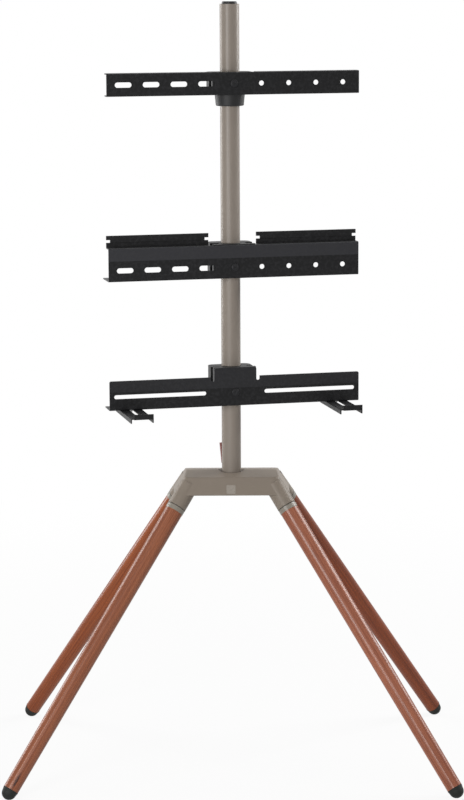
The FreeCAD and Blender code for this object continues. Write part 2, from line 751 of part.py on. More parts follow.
def make_lower_bracket():
    low, top = LOWER_LOW, LOWER_TOP
    back = "%s + dim.lower_flange" % FACE
    corners = [
        (FACE, low),
        (back, low),
        (back, low + " + dim.sheet"),
        (FACE_BACK, low + " + dim.sheet"),
        (FACE_BACK, top),
        (FACE, top),
    ]
    angle = outline_pad("lower_angle", "YZ_Plane", corners, "dim.lower_len")
    half_len, half_tab = size(HALF_LOWER), size(HALF_CLAMP)
    angle = rounded("lower_bend", angle, "dim.bend_r", runs_along("x", y=size(FACE), z=size(low)))
    ends = any_of(*[runs_along("y", x=side * half_len, z=size(top)) for side in (-1, 1)])
    angle = rounded("lower_ends", angle, "dim.lower_corner", ends)
    tab = box("lower_tab", (minus(HALF_CLAMP), HALF_CLAMP), (FACE, FACE_BACK),
              (top + " - dim.sheet", TAB_TOP))
    tops = any_of(*[runs_along("y", x=side * half_tab, z=size(TAB_TOP)) for side in (-1, 1)])
    tab = rounded("lower_tab_round", tab, "dim.tab_corner", tops)
    tools = [flange_gap("lower_gap", (low + " - " + PAST, low + " + dim.sheet")),
             face_screw_hole("lower", LOWER_LINE)]
    relief_level = top + " - dim.relief_depth"
    for name, sign in (("left", "-"), ("right", "")):
        middle = "%s(%s + dim.relief_d / 2)" % (sign, HALF_CLAMP)
        through = past(FACE, FACE_BACK)
        tools.append(rod("relief_" + name, "dim.relief_d", through, "y", (middle, relief_level)))
        mouth = span(middle, "dim.relief_d")
        tools.append(box("relief_mouth_" + name, mouth, through, (relief_level, TAB_TOP)))
        bolt_y = "%s + dim.arm_bolt_back" % FACE
        bolt_hole = "dim.arm_bolt_d + 2 * dim.hole_gap"
        tools.append(rod("arm_hole_" + name, bolt_hole, past(low, low + " + dim.sheet"), "z",
                         (sign + ARM_X, bolt_y)))
    near, far = HALF_CLAMP + " + dim.long_slot_inset", HALF_LOWER + " - dim.long_slot_end"
    tools += slot_tool("long_left", (minus(far), minus(near)), "dim.long_slot_w", LOWER_LINE)
    tools += slot_tool("long_right", (near, far), "dim.long_slot_w", LOWER_LINE)
    node(cut("lower_sheet", joined("lower_plate", angle, tab), *tools), "lower_bracket")


def make_clamp(name, low, tops, line, bolt_levels):
    """two jaws round the pole, their bolts, and the screw that holds the bracket to the front jaw"""
    width = (minus(HALF_CLAMP), HALF_CLAMP)
    high, rear_high = tops
    bore = rod(name + "_bore", SLIDE_BORE, past(low, high))
    plate = box(name + "_jaw_plate", width, (FACE_BACK, JAW_BACK), (low, high))
    saddle = box(name + "_saddle", span("0", "dim.saddle_w"), (FACE_BACK, "-dim.saddle_stop"), (low, high))
    block = box(name + "_rear_block", width, (REAR_JAW, REAR_BACK), (low, rear_high))
    half, back = size(HALF_CLAMP), size(REAR_BACK)
    corners = any_of(*[runs_along("z", x=side * half, y=back) for side in (-1, 1)])
    block = rounded(name + "_rear_round", block, "dim.rear_corner", corners)
    front_tools, rear_tools, bolts = [bore], [bore], []
    tip = FACE_BACK + " + dim.bolt_end"
    head_end = "dim.clamp_seat_y + dim.clamp_head"
    key_span = (head_end + " - dim.key_depth", head_end + " + dim.lap")
    seat_span = ("dim.clamp_seat_y", REAR_BACK + " + " + PAST)
    thread = "dim.clamp_bolt_d + 2 * dim.seat_gap"
    loose = "dim.clamp_bolt_d + 2 * dim.hole_gap"
    for side, sign in (("left", "-"), ("right", "")):
        for number, level in enumerate(bolt_levels, start=1):
            tag = "%s_%s_%d" % (name, side, number)
            at = (sign + CLAMP_BOLT_X, level)
            front_tools.append(rod(tag + "_thread", thread, (tip, "0"), "y", at))
            rear_tools.append(rod(tag + "_hole", loose, past(REAR_JAW, REAR_BACK), "y", at))
            rear_tools.append(rod(tag + "_seat", "dim.clamp_seat_d", seat_span, "y", at))
            shank = rod(tag + "_shank", "dim.clamp_bolt_d", (tip, "dim.clamp_seat_y"), "y", at)
            head = rod(tag + "_head", "dim.clamp_head_d", ("dim.clamp_seat_y", head_end), "y", at)
            key = hexagon(tag + "_key", "dim.key_flats", key_span, "y", at)
            bolts.append(cut(tag + "_bolt", joined(tag + "_blank", shank, head), key))
    centre = ("0", line)
    screw_end = JAW_BACK + " - dim.bolt_end"
    face_thread = "dim.face_screw_d + 2 * dim.seat_gap"
    front_tools.append(rod(name + "_face_thread", face_thread, (FACE, screw_end), "y", centre))
    front = joined(name + "_front_solid", plate, saddle)
    node(cut(name + "_front", front, *front_tools), name + "_clamp_front")
    node(cut(name + "_rear", block, *rear_tools), name + "_clamp_rear")
    node(group(name + "_bolts", *bolts), name + "_clamp_bolts")
    make_face_screw(name, centre, screw_end)


def make_face_screw(name, centre, screw_end):
    head_front = "%s - dim.face_screw_head" % FACE
    head = rod(name + "_face_head", "dim.face_screw_head_d", (head_front, FACE), "y", centre)
    front = size(head_front)
    head = rounded(name + "_face_dome", head, "dim.face_screw_dome",
                   lambda edge: edge.BoundBox.YMax < front + 1e-4)
    shank = rod(name + "_face_shank", "dim.face_screw_d", (FACE, screw_end), "y", centre)
    key_span = (head_front + " - dim.lap", head_front + " + dim.face_key_depth")
    key = hexagon(name + "_face_key", "dim.key_flats", key_span, "y", centre)
    blank = joined(name + "_face_blank", head, shank)
    node(cut(name + "_face_screw", blank, key), name + "_bracket_screw")


def make_arm(name, middle):
    """channel under the lower bracket with side flanges down, a lip up at the front and a slot"""
    top = LOWER_LOW
    under = "%s - dim.arm_sheet" % top
    side_low = "%s - dim.arm_side" % top
    front = "%s - dim.arm_front" % FACE
    rear = "%s + dim.arm_back" % FACE
    left = "%s - dim.arm_w / 2" % middle
    right = "%s + dim.arm_w / 2" % middle
    length = (front, rear)
    plate = box(name + "_plate", (left, right), length, (under, top))
    left_side = box(name + "_left_side", (left, left + " + dim.arm_sheet"), length, (side_low, top))
    right_side = box(name + "_right_side", (right + " - dim.arm_sheet", right), length, (side_low, top))
    channel = joined(name + "_channel", plate, left_side, right_side)
    channel.Refine = True
    sides = any_of(*[runs_along("y", x=size(edge), z=size(top)) for edge in (left, right)])
    channel = rounded(name + "_bends", channel, "dim.arm_bend", sides)
    lip_left = left + " + dim.arm_lip_inset"
    lip_top = top + " + dim.arm_lip"
    lip = box(name + "_lip", (lip_left, right), (front, front + " + dim.arm_sheet"), (under, lip_top))
    notch_depth = (front + " - dim.lap", front + " + dim.arm_notch")
    notch_levels = (side_low, top + " + dim.lap")
    notch = box(name + "_notch", (left + " + dim.arm_sheet", lip_left), notch_depth, notch_levels)
    bolt_y = "%s + dim.arm_bolt_back" % FACE
    slot_front = "%s - dim.arm_travel" % bolt_y
    through = past(under, top)
    slot = [
        box(name + "_slot_core", span(middle, "dim.arm_slot_w"), (slot_front, bolt_y), through),
        rod(name + "_slot_front", "dim.arm_slot_w", through, "z", (middle, slot_front)),
        rod(name + "_slot_back", "dim.arm_slot_w", through, "z", (middle, bolt_y)),
    ]
    node(cut(name + "_bent", joined(name + "_solid", channel, lip), notch, *slot), name)


def make_arm_fasteners():
    top = LOWER_LOW + " + dim.sheet"
    under = "%s - dim.arm_sheet" % LOWER_LOW
    washer_low = under + " - dim.arm_washer"
    boss_low = washer_low + " - dim.wing_boss"
    bolt_y = "%s + dim.arm_bolt_back" % FACE
    tight = "dim.arm_bolt_d + 2 * dim.seat_gap"
    bolts, washers, nuts = [], [], []
    for side, middle in (("left", "-" + ARM_X), ("right", ARM_X)):
        at = (middle, bolt_y)
        tag = "arm_" + side
        head = hexagon(tag + "_head", "dim.arm_head_flats", (top, top + " + dim.arm_head"), "z", at)
        shank = rod(tag + "_shank", "dim.arm_bolt_d", (boss_low + " - dim.bolt_end", top), "z", at)
        bolts.append(joined(tag + "_bolt", head, shank))
        washers.append(ring(tag + "_washer", "dim.arm_washer_d", tight, (washer_low, under), at))
        boss = rod(tag + "_boss", "dim.wing_boss_d", (boss_low, washer_low), "z", at)
        wings = box(tag + "_wings", span(middle, "dim.wing_thick"), span(bolt_y, "dim.wing_span"),
                    (washer_low + " - dim.wing_height", washer_low + " - dim.wing_boss / 4"))
        hole = rod(tag + "_nut_hole", tight, past(washer_low + " - dim.wing_height", washer_low), "z", at)
        nuts.append(cut(tag + "_wing_nut", joined(tag + "_nut_blank", boss, wings), hole))
    node(group("arm_bolt_set", *bolts), "arm_bolts")
    node(group("arm_washer_set", *washers), "arm_washers")
    node(group("arm_nut_set", *nuts), "arm_wing_nuts")


make_hub()
make_turning_joint()
make_legs()
make_pole()
make_cable_hook()
make_stop_collar()
make_upper_bracket()
upper_jaws = (UPPER_TOP + " - dim.upper_front_drop", UPPER_TOP + " - dim.upper_rear_drop")
make_clamp("upper", UPPER_LOW, upper_jaws, UPPER_LINE, [UPPER_LINE])
make_middle_bracket()
middle_jaw = MIDDLE_TOP + " + dim.middle_clamp_rise"
make_clamp("middle", MIDDLE_LOW, (middle_jaw, middle_jaw), MIDDLE_LINE, [MIDDLE_LINE])
make_lower_bracket()
bolt_rows = span("(%s + %s) / 2" % (LOWER_LOW, TAB_TOP), "dim.clamp_bolt_row")
lower_jaws = (TAB_TOP, TAB_TOP + " - dim.lower_rear_drop")
make_clamp("lower", LOWER_LOW, lower_jaws, LOWER_LINE, bolt_rows)
make_arm("sound_bar_arm_left", "-" + ARM_X)
make_arm("sound_bar_arm_right", ARM_X)
make_arm_fasteners()

doc.recompute()
failed = [item.Label for item in doc.Objects if {"Invalid", "Error"} & set(item.State)]
if failed:
    raise RuntimeError("failed objects: %s" % ", ".join(failed))
for piece in nodes:
    if piece.Shape.isNull() or not piece.Shape.isValid() or not piece.Shape.Solids:
        raise RuntimeError("bad shape: %s" % piece.Label)

os.makedirs("parts", exist_ok=True)
for piece in nodes:
    piece.Shape.exportStep("parts/%s.step" % piece.Label)
    print(piece.Label, len(piece.Shape.Solids), "solids, %.0f mm3" % piece.Shape.Volume)
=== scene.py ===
import json
import math

import bmesh
import bpy
from mathutils import Matrix, Vector


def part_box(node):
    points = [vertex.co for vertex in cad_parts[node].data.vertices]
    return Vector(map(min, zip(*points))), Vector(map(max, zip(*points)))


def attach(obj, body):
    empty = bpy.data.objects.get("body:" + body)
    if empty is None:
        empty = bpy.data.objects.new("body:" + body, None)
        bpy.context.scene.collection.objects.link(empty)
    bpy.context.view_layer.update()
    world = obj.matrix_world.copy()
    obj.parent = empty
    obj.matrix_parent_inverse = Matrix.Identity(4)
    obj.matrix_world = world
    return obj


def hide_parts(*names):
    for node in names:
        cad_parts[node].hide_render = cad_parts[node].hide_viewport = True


# Looks of a floor stand for a screen: taupe pole and cast hub, lacquered wooden legs, black
# powder-coated brackets. Metres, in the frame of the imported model.

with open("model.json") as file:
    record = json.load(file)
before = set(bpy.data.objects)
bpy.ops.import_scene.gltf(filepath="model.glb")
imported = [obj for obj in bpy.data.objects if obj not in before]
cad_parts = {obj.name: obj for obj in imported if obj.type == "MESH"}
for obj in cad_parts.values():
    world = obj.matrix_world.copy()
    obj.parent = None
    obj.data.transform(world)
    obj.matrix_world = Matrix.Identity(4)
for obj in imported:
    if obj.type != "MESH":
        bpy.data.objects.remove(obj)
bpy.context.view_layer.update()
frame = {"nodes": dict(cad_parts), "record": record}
MM = 0.001
CORNERS = ("front_left", "front_right", "rear_left", "rear_right")
LEVELS = ("upper", "middle", "lower")
BASE_TURN = math.radians(-13.6)
body_of = {node: body for body, nodes in frame["record"]["behaviour"]["bodies"].items() for node in nodes}


# Node trees

NUMBER, TINT, VECTOR = "NodeSocketFloat", "NodeSocketColor", "NodeSocketVector"
GEOMETRY, COUNT, FINISH = "NodeSocketGeometry", "NodeSocketInt", "NodeSocketMaterial"
MIX_INLETS, MIX_OUTLET = (0, 6, 7), 2
FLAT = (1.0, 1.0, 0.0)
WHITE = (1.0, 1.0, 1.0, 1.0)


class Wiring:
    """short calls that add and join the nodes of one tree"""

    def __init__(self, tree):
        self.tree = tree

    def add(self, kind, **settings):
        node = self.tree.nodes.new(kind)
        for key, value in settings.items():
            setattr(node, key, value)
        return node

    def feed(self, socket, value):
        """a link where the value is a socket, otherwise a plain number, vector or colour"""
        if isinstance(value, bpy.types.NodeSocket):
            self.tree.links.new(value, socket)
        else:
            socket.default_value = value

    def feed_row(self, node, values):
        """values in the order of a node's sockets"""
        for socket, value in zip(node.inputs, values):
            self.feed(socket, value)

    def place(self, kind, outlet=0, settings=None, **values):
        """node with its named inputs fed; gives one of its outlets"""
        node = self.add(kind, **(settings or {}))
        for label, value in values.items():
            self.feed(node.inputs[label.replace("_", " ")], value)
        return node.outputs[outlet]

    def group(self, tree, **values):
        """node group with its named inputs fed; gives all its outlets"""
        node = self.add("ShaderNodeGroup", node_tree=tree)
        for label, value in values.items():
            self.feed(node.inputs[label], value)
        return node.outputs

    def math(self, operation, *values):
        node = self.add("ShaderNodeMath", operation=operation)
        self.feed_row(node, values)
        return node.outputs[0]

    def times(self, value, share):
        return self.math("MULTIPLY", value, share)

    def plus(self, base, value, share):
        """base with a share of a value added"""
        return self.math("MULTIPLY_ADD", value, share, base)

    def most(self, first, second):
        return self.math("MAXIMUM", first, second)

    def vector(self, operation, *values, outlet="Vector"):
        node = self.add("ShaderNodeVectorMath", operation=operation)
        self.feed_row(node, values)
        return node.outputs[outlet]

    def length(self, vector):
        return self.vector("LENGTH", vector, outlet="Value")

    def height(self, vector):
        return self.place("ShaderNodeSeparateXYZ", "Z", Vector=vector)

    def stretched(self, vector, scale):
        return self.place("ShaderNodeMapping", Vector=vector, Scale=scale)

    def noise(self, vector, scale, detail=2.0, distortion=0.0):
        return self.place("ShaderNodeTexNoise", "Fac", Vector=vector, Scale=scale, Detail=detail,
                          Distortion=distortion)

    def ramp(self, value, low, high, out_low=0.0, out_high=1.0):
        """value carried smoothly from one range to another and held at the ends"""
        return self.place("ShaderNodeMapRange", "Result", {"interpolation_type": "SMOOTHSTEP"}, Value=value,
                          From_Min=low, From_Max=high, To_Min=out_low, To_Max=out_high)

    def mix(self, amount, first, second, mode="MIX"):
        """colour mixed from two"""
        node = self.add("ShaderNodeMix", data_type="RGBA", blend_type=mode)
        for index, value in zip(MIX_INLETS, (amount, first, second)):
            self.feed(node.inputs[index], value)
        return node.outputs[MIX_OUTLET]


def shader_group(name, inputs, outputs):
    """empty shader group with named sockets: its wiring, its input sockets and its output sockets"""
    group = bpy.data.node_groups.new(name, "ShaderNodeTree")
    for label, kind in inputs.items():
        group.interface.new_socket(label, in_out="INPUT", socket_type=kind)
    for label, kind in outputs.items():
        group.interface.new_socket(label, in_out="OUTPUT", socket_type=kind)
    start = group.nodes.new("NodeGroupInput")
    end = group.nodes.new("NodeGroupOutput")
    return Wiring(group), start.outputs, end.inputs


# Effects that several finishes share; noise scales are per metre

RUBBED_SHARE = 0.012
LEAST_ROUGHNESS = 0.08
SCUFF_LINES = ((40.0, 40.0, 900.0), (900.0, 60.0, 60.0), (70.0, 700.0, 500.0))
PITH = (11.0 * MM, -19.0 * MM, 0.0)
RINGS_PER_METRE = 330.0
RING_DRIFT = 7.0


def make_powder_coat():
    """fine bumpy paint: cloudy tone, rubbed patches and a pebbled height"""
    w, start, end = shader_group(
        "powder_coat",
        {"Vector": VECTOR, "Paint": TINT, "Rubbed": TINT, "Roughness": NUMBER, "Pebbles": NUMBER},
        {"Colour": TINT, "Roughness": NUMBER, "Height": NUMBER})
    at = start["Vector"]
    clouds = w.noise(at, scale=14.0, detail=4.0)
    mottle = w.noise(at, scale=120.0, detail=3.0)
    pebbles = w.noise(at, scale=start["Pebbles"])
    blotches = w.noise(at, scale=46.0, detail=5.0, distortion=0.6)
    tone = w.plus(w.plus(0.94, clouds, share=0.08), mottle, share=0.04)
    grey = w.place("ShaderNodeCombineColor", Red=tone, Green=tone, Blue=tone)
    tinted = w.mix(1.0, start["Paint"], grey, "MULTIPLY")
    patches = w.ramp(blotches, low=0.60, high=0.78, out_high=RUBBED_SHARE)
    rough = w.plus(w.plus(start["Roughness"], mottle, share=0.06), patches, share=-0.25)
    w.feed(end["Colour"], w.mix(patches, tinted, start["Rubbed"]))
    w.feed(end["Roughness"], w.most(rough, LEAST_ROUGHNESS))
    w.feed(end["Height"], w.plus(pebbles, mottle, share=0.35))
    return w.tree


def make_fine_scuffs():
    """mask of thin crossing scratches"""
    w, start, end = shader_group("fine_scuffs", {"Vector": VECTOR}, {"Mask": NUMBER})
    mask = 0.0
    for scale in SCUFF_LINES:
        lines = w.noise(w.stretched(start["Vector"], scale), scale=1.0, detail=3.0, distortion=0.4)
        mask = w.most(mask, w.ramp(lines, low=0.63, high=0.70))
    w.feed(end["Mask"], mask)
    return w.tree


def make_edge_wear():
    """mask of rubbed paint along the rounded edges of a piece"""
    w, start, end = shader_group("edge_wear", {"Vector": VECTOR, "Edge": NUMBER, "Amount": NUMBER},
                                 {"Mask": NUMBER})
    rubs = w.noise(start["Vector"], scale=180.0, detail=4.0, distortion=0.4)
    broken = w.ramp(rubs, low=0.42, high=0.66, out_low=0.15)
    w.feed(end["Mask"], w.times(w.times(start["Edge"], broken), start["Amount"]))
    return w.tree


def make_wood_grain():
    """stained wood seen along a turned leg: growth rings, streaks and pores that run along Z"""
    w, start, end = shader_group(
        "wood_grain",
        {"Vector": VECTOR, "Pale": TINT, "Deep": TINT, "Pore": TINT},
        {"Colour": TINT, "Roughness": NUMBER, "Height": NUMBER})
    at = start["Vector"]

    def drawn_out(share, **look):
        """noise drawn out along the leg"""
        return w.noise(w.stretched(at, (1.0, 1.0, share)), **look)

    drift = drawn_out(0.045, scale=38.0, detail=3.0, distortion=0.3)
    streaks = drawn_out(0.016, scale=260.0, detail=4.0, distortion=0.2)
    pores = w.ramp(drawn_out(0.03, scale=1500.0), low=0.60, high=0.72)
    scars = w.ramp(drawn_out(0.07, scale=75.0, distortion=0.5), low=0.70, high=0.78, out_high=0.75)
    off_pith = w.vector("MULTIPLY", w.vector("SUBTRACT", at, PITH), FLAT)
    rings = w.times(w.length(off_pith), RINGS_PER_METRE)
    ring = w.math("FRACT", w.plus(rings, drift, RING_DRIFT))
    tone = w.times(w.ramp(ring, low=0.0, high=0.85), share=0.30)
    tone = w.plus(tone, w.ramp(streaks, low=0.32, high=0.70), share=0.55)
    tone = w.plus(tone, w.ramp(drift, low=0.25, high=0.75), share=0.25)
    stained = w.mix(tone, start["Pale"], start["Deep"])
    dark = w.most(w.times(pores, share=0.45), scars)
    w.feed(end["Colour"], w.mix(dark, stained, start["Pore"]))
    w.feed(end["Roughness"], w.plus(0.26, streaks, share=0.22))
    w.feed(end["Height"], w.plus(streaks, pores, share=-0.5))
    return w.tree


powder_coat = make_powder_coat()
fine_scuffs = make_fine_scuffs()
edge_wear = make_edge_wear()
wood_grain = make_wood_grain()


# Places taken from the frame

def middle_of(node):
    low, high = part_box(node)
    return (low + high) / 2


def leg_line(corner):
    """where the ring of a leg sits and which way the leg runs down from it"""
    top = middle_of("leg_ferrule_" + corner)
    return top, (middle_of("foot_cap_" + corner) - top).normalized()


def along_leg(w, at, corner):
    """place measured from the ring of a leg, Z down along the leg"""
    top, axis = leg_line(corner)
    return w.place("ShaderNodeMapping", 0, {"vector_type": "TEXTURE"}, Vector=at, Location=top,
                   Rotation=axis.to_track_quat("Z", "Y").to_euler())


# Finishes; colours are display colours in 0 to 255

PAINT_RELIEF = 0.1 * MM
ZINC_RELIEF = 0.05 * MM
SCUFF_SHARE = 0.015
SOFT_SAMPLES = 8


def colour(red, green, blue):
    """linear colour from a display colour"""
    def linear(value):
        value /= 255
        return value / 12.92 if value <= 0.04045 else ((value + 0.055) / 1.055) ** 2.4
    return (linear(red), linear(green), linear(blue), 1.0)


def new_material(name, **constants):
    """material with its constants set on the Principled sockets: wiring, shader sockets, place vector"""
    material = bpy.data.materials.new(name)
    material.use_nodes = True
    w = Wiring(material.node_tree)
    shader = material.node_tree.nodes["Principled BSDF"].inputs
    for label, value in constants.items():
        shader[label.replace("_", " ")].default_value = value
    at = w.add("ShaderNodeTexCoord").outputs["Object"]
    return material, w, shader, at


def bump(w, shader, height, strength, distance, soft=0.0):
    """fine relief, over edges that look rounded by the soft radius"""
    normal = w.place("ShaderNodeBump", Height=height, Strength=strength, Distance=distance)
    if soft:
        rounded = w.place("ShaderNodeBevel", 0, {"samples": SOFT_SAMPLES}, Radius=soft)
        w.feed(normal.node.inputs["Normal"], rounded)
    w.feed(shader["Normal"], normal)


def painted(name, paint, rubbed, roughness, pebbles=1500.0, relief=0.25, wear=0.35, painted_light=None, soft=0.0,
            **constants):
    """powder coat or a moulded grain; an optional function of (w, at) may give a mask and the colour of a
    painted shadow or painted sheen to mix into the paint under it
    """
    material, w, shader, at = new_material(name, **constants)
    paint, rubbed = colour(*paint), colour(*rubbed)
    # painted light mixed into the paint: the painted shadow in a ring's groove, the painted sheen on a
    # bracket's face
    if painted_light:
        mask, painted_light_colour = painted_light(w, at)
        paint = w.mix(mask, paint, colour(*painted_light_colour))
    coat = w.group(powder_coat, Vector=at, Paint=paint, Rubbed=rubbed, Roughness=roughness,
                   Pebbles=pebbles)
    scuffs = w.group(fine_scuffs, Vector=at)["Mask"]
    edge = w.add("ShaderNodeAttribute", attribute_name="edge").outputs["Fac"]
    worn = w.group(edge_wear, Vector=at, Edge=edge, Amount=wear)["Mask"]
    marks = w.most(w.times(scuffs, SCUFF_SHARE), worn)
    w.feed(shader["Base Color"], w.mix(marks, coat["Colour"], rubbed))
    w.feed(shader["Roughness"], w.plus(coat["Roughness"], marks, share=-0.25))
    bump(w, shader, coat["Height"], relief, PAINT_RELIEF, soft)
    return material


def pole_taupe():
    return painted("pole_taupe", (133, 124, 115), (150, 142, 133), roughness=0.30, relief=0.15,
                   Specular_IOR_Level=0.25)


def hub_taupe():
    return painted("hub_taupe", (127, 117, 106), (146, 137, 126), roughness=0.42, pebbles=700.0,
                   relief=0.10, soft=3.5 * MM, Specular_IOR_Level=0.2)


def label_taupe():
    return painted("label_taupe", (140, 132, 122), (156, 149, 140), roughness=0.30, pebbles=1200.0,
                   relief=0.10)


# Painted shadow in the groove between a leg's ring and its sleeve: where it starts and ends along the ring,
# and its dark colour
GROOVE_SHADOW_START, GROOVE_SHADOW_END = 0.9 * MM, 1.7 * MM
GROOVE_SHADOW = (38, 36, 32)


def ferrule_grey(corner):
    """grey ring of one leg, with a painted shadow in the groove where it meets the sleeve"""
    ring = frame["nodes"]["leg_ferrule_" + corner]
    top, axis = leg_line(corner)
    start = min((ring.matrix_world @ vertex.co - top).dot(axis) for vertex in ring.data.vertices)

    # painted shadow: the ring's first part next to the sleeve is painted dark
    def groove(w, at):
        level = w.height(along_leg(w, at, corner))
        mask = w.ramp(level, start + GROOVE_SHADOW_START, start + GROOVE_SHADOW_END, out_low=1.0, out_high=0.0)
        return mask, GROOVE_SHADOW

    return painted("ferrule_grey_" + corner, (128, 122, 112), (150, 144, 136), roughness=0.32,
                   painted_light=groove, Specular_IOR_Level=0.35)


# Painted sheen on a bracket's face, paler paint that stands in for light reflected off its upper part: its
# start and end above the bracket's foot, and its paint
SHEEN_FACES = {"middle": (36.2 * MM, 60.0 * MM, (46, 46, 49)),
              "lower": (32.5 * MM, 90.0 * MM, (35, 35, 37))}
SHEEN_EDGE = 1.2 * MM


def bracket_black(level):
    """black steel; the faces of the middle and lower brackets are painted paler above a line, a painted
    sheen of reflected light
    """
    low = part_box(level + "_bracket")[0].z

    # painted sheen: the face above a line painted paler than the rest
    def upper_face_sheen(w, at):
        start, end, painted_light_colour = SHEEN_FACES[level]
        up = w.height(at)
        above = w.ramp(up, low + start, low + start + SHEEN_EDGE)
        below = w.ramp(up, low + end - SHEEN_EDGE, low + end, out_low=1.0, out_high=0.0)
        return w.times(above, below), painted_light_colour

    return painted("bracket_black_" + level, (19, 19, 20), (54, 54, 56), roughness=0.42, pebbles=1700.0,
                   relief=0.08, wear=0.30, painted_light=upper_face_sheen if level in SHEEN_FACES else None,
                   Specular_IOR_Level=0.15)


def clamp_black():
    return painted("clamp_black", (22, 22, 23), (52, 52, 54), roughness=0.46, pebbles=900.0, relief=0.16,
                   wear=0.15, soft=0.8 * MM, Specular_IOR_Level=0.2)


def screw_black():
    return painted("screw_black", (28, 28, 30), (64, 64, 66), roughness=0.36, pebbles=2200.0, relief=0.15,
                   Specular_IOR_Level=0.2)


def moulded_black():
    """grained black plastic of the end cap and the collar"""
    return painted("moulded_black", (28, 28, 29), (52, 52, 53), roughness=0.44, pebbles=1100.0, relief=0.24,
                   Specular_IOR_Level=0.25)


def bearing_grey():
    return painted("bearing_grey", (70, 70, 72), (92, 92, 94), roughness=0.30, pebbles=2500.0, relief=0.08)


def foot_rubber():
    return painted("foot_rubber", (24, 27, 24), (56, 57, 53), roughness=0.62, pebbles=800.0, relief=0.60,
                   Specular_IOR_Level=0.25)


def hook_red_brown():
    return painted("hook_red_brown", (108, 44, 36), (136, 70, 60), roughness=0.24, pebbles=1300.0,
                   relief=0.10, Coat_Weight=0.3, Coat_Roughness=0.12)


def zinc_plate():
    """bright zinc with a faint spangle and scratches"""
    material, w, shader, at = new_material("zinc_plate", Metallic=1.0)
    spangle = w.noise(at, scale=420.0, distortion=0.5)
    scuffs = w.group(fine_scuffs, Vector=at)["Mask"]
    plated = w.mix(w.ramp(spangle, low=0.3, high=0.7), colour(176, 178, 180), colour(206, 206, 202))
    rough = w.ramp(spangle, low=0.2, high=0.8, out_low=0.24, out_high=0.38)
    scratched = w.mix(w.times(scuffs, share=0.25), plated, colour(120, 120, 118))
    w.feed(shader["Base Color"], scratched)
    w.feed(shader["Roughness"], w.plus(rough, scuffs, share=0.18))
    bump(w, shader, spangle, strength=0.10, distance=ZINC_RELIEF)
    return material


# Stain of each leg in its pale and its deep grain. The legs differ partly as real wood does and partly by
# painted light: the front right stain is paler as a painted highlight, the rear right darker as painted
# shade
LEG_STAINS_AND_SHADING = {"front_left": ((154, 94, 65), (114, 62, 40)), "front_right": ((162, 100, 74), (121, 66, 47)),
          "rear_left": ((152, 81, 41), (110, 49, 20)), "rear_right": ((137, 67, 33), (96, 41, 17))}
PORE = (48, 20, 11)
KNOTS = {"front_left": (12.2 * MM, 7.8 * MM, 562.6 * MM)}
KNOT_SIZE = (3.2 * MM, 3.2 * MM, 19.0 * MM)


def knot(w, along, spot):
    """mask of one dark knot in the wood, drawn out along the grain"""
    near = w.place("ShaderNodeMapping", 0, {"vector_type": "TEXTURE"}, Vector=along, Location=spot,
                   Scale=KNOT_SIZE)
    ragged = w.plus(w.length(near), w.noise(along, scale=500.0, detail=3.0), share=0.8)
    return w.ramp(ragged, low=0.8, high=1.4, out_low=0.85, out_high=0.0)


def leg_wood(corner):
    """red-brown stained wood under gloss lacquer, its grain along one leg; its stain holds some painted
    highlight and painted shade
    """
    material, w, shader, at = new_material("leg_wood_" + corner, Specular_IOR_Level=0.0, Coat_Weight=0.6,
                                           Coat_Roughness=0.26)
    along = along_leg(w, at, corner)
    pale, deep = LEG_STAINS_AND_SHADING[corner]
    pore = colour(*PORE)
    grain = w.group(wood_grain, Vector=along, Pale=colour(*pale), Deep=colour(*deep), Pore=pore)
    wood = grain["Colour"]
    if corner in KNOTS:
        wood = w.mix(knot(w, along, KNOTS[corner]), wood, pore)
    w.feed(shader["Base Color"], wood)
    w.feed(shader["Roughness"], grain["Roughness"])
    bump(w, shader, grain["Height"], strength=0.05, distance=PAINT_RELIEF)
    return material


# Shapes

MERGE_REACH = 0.002 * MM
FLAT_ANGLE = math.radians(0.5)
FOLD_ANGLE = math.radians(25.0)
PRESSED_ANGLE = math.radians(40.0)
EDGE_STEPS = 3


def link(item):
    bpy.context.scene.collection.objects.link(item)
    return item


def dress(node, material):
    """give a node of the frame a finish of its own"""
    slots = frame["nodes"][node].data.materials
    slots.clear()
    slots.append(material)


def add_piece(name, mesh, body, material, *nodes):
    """new piece that rides on a body and stands for some nodes"""
    piece = link(bpy.data.objects.new(name, mesh))
    mesh.materials.clear()
    mesh.materials.append(material)
    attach(piece, body)
    if nodes:
        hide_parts(*nodes)
    return piece


def blank_of(name, shape):
    """object in the scene with the faces of a shape; the shape is done with"""
    mesh = bpy.data.meshes.new(name)
    shape.to_mesh(mesh)
    shape.free()
    return link(bpy.data.objects.new(name, mesh))


def finished_mesh(blank):
    """plain mesh of a blank with its modifiers carried out; the blank is done with"""
    graph = bpy.context.evaluated_depsgraph_get()
    mesh = bpy.data.meshes.new_from_object(blank.evaluated_get(graph), depsgraph=graph)
    bpy.data.objects.remove(blank)
    return mesh


def round_edges(blank, width, angle):
    """mesh of a blank with its edges past an angle rounded over and marked for wear"""
    for face in blank.data.polygons:
        face.use_smooth = True
    bevel = blank.modifiers.new("bevel", "BEVEL")
    bevel.width, bevel.segments = width, EDGE_STEPS
    bevel.limit_method, bevel.angle_limit = "ANGLE", angle
    bevel.use_clamp_overlap = False
    bevel.material = 1
    shade = blank.modifiers.new("shade", "WEIGHTED_NORMAL")
    shade.keep_sharp = False
    blank.data.materials.clear()
    for _ in range(2):
        blank.data.materials.append(None)
    mesh = finished_mesh(blank)
    worn = mesh.attributes.new("edge", "FLOAT", "POINT")
    for face in mesh.polygons:
        if face.material_index == 1:
            for corner in face.vertices:
                worn.data[corner].value = 1.0
            face.material_index = 0
    return mesh


